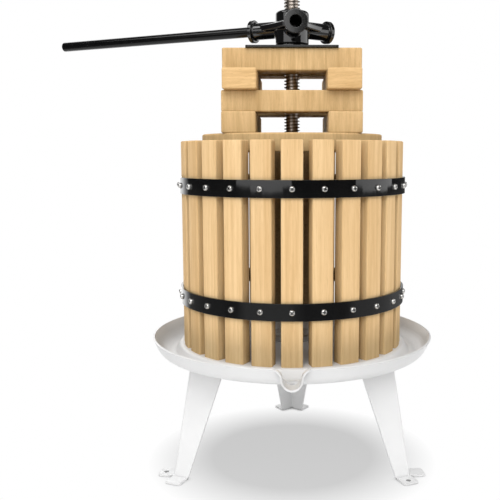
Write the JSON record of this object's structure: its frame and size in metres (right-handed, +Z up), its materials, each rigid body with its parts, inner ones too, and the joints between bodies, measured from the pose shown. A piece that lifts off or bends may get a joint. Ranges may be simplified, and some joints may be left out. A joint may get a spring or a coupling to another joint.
{
  "type": "fruit press",
  "caption": "Screw fruit press: slatted round basket with two hoops in a spouted pan on folded legs, with crossed blocks, a press board and a socketed head turned by a bar.",
  "frame": {"origin": "on the floor, on the axis of the screw, at the centre of the circle of foot holes", "axes": "+Z up along the screw, -Y towards the spout and the viewer, +X to the viewer's right"},
  "size_m": [0.5199, 0.375, 0.6466],
  "materials": {
    "basket_wood": "planed pale hardwood, bare",
    "block_wood": "planed pale hardwood, bare",
    "board_wood": "planed pale hardwood, bare",
    "black_steel": "gloss black paint",
    "black_casting": "gloss black paint on a casting",
    "bright_screws": "bright zinc",
    "bare_steel": "turned steel",
    "white_coat": "white powder coat"
  },
  "bodies": {
    "base": {"juice_pan": "white_coat", "leg_left": "white_coat", "leg_right": "white_coat", "leg_rear": "white_coat", "leg_bolts": "bare_steel", "leg_nuts": "bare_steel", "main_screw": "bare_steel", "base_collar": "bare_steel", "base_washer": "bare_steel", "base_nut": "bare_steel"},
    "basket": {"slat_01": "basket_wood", "slat_02": "basket_wood", "slat_03": "basket_wood", "slat_04": "basket_wood", "slat_05": "basket_wood", "slat_06": "basket_wood", "slat_07": "basket_wood", "slat_08": "basket_wood", "slat_09": "basket_wood", "slat_10": "basket_wood", "slat_11": "basket_wood", "slat_12": "basket_wood", "slat_13": "basket_wood", "slat_14": "basket_wood", "slat_15": "basket_wood", "slat_16": "basket_wood", "slat_17": "basket_wood", "slat_18": "basket_wood", "slat_19": "basket_wood", "slat_20": "basket_wood", "slat_21": "basket_wood", "slat_22": "basket_wood", "slat_23": "basket_wood", "slat_24": "basket_wood", "slat_25": "basket_wood", "upper_hoop": "black_steel", "lower_hoop": "black_steel", "upper_hoop_screws": "bright_screws", "lower_hoop_screws": "bright_screws"},
    "press_stack": {"press_board_front": "board_wood", "press_board_rear": "board_wood", "block_1_left": "block_wood", "block_1_right": "block_wood", "block_2_front": "block_wood", "block_2_rear": "block_wood", "block_3_left": "block_wood", "block_3_right": "block_wood", "block_4_front": "block_wood", "block_4_rear": "block_wood", "pressure_plate": "black_steel", "thrust_collar": "black_casting"},
    "head": {"press_head": "black_casting"},
    "bar": {"handle_bar": "black_steel"}
  },
  "joints": [
    {"name": "basket_lift", "type": "slide", "parent": "base", "child": "basket", "axis": [0, 0, 1], "range_m": [0, 0.025]},
    {"name": "press_slide", "type": "slide", "parent": "base", "child": "press_stack", "axis": [0, 0, 1], "range_m": [-0.1, 0.06]},
    {"name": "head_turn", "type": "hinge", "parent": "press_stack", "child": "head", "pos_m": [0, 0, 0.535], "axis": [0, 0, 1], "range_deg": [-9000, 5400]},
    {"name": "bar_slide", "type": "slide", "parent": "head", "child": "bar", "axis": [-0.9026, 0.4305, 0], "range_m": [0, 0.04]}
  ],
  "couplings": [
    {"joint": "press_slide", "follows": "head_turn", "m_per_rad": 0.00063662}
  ]
}
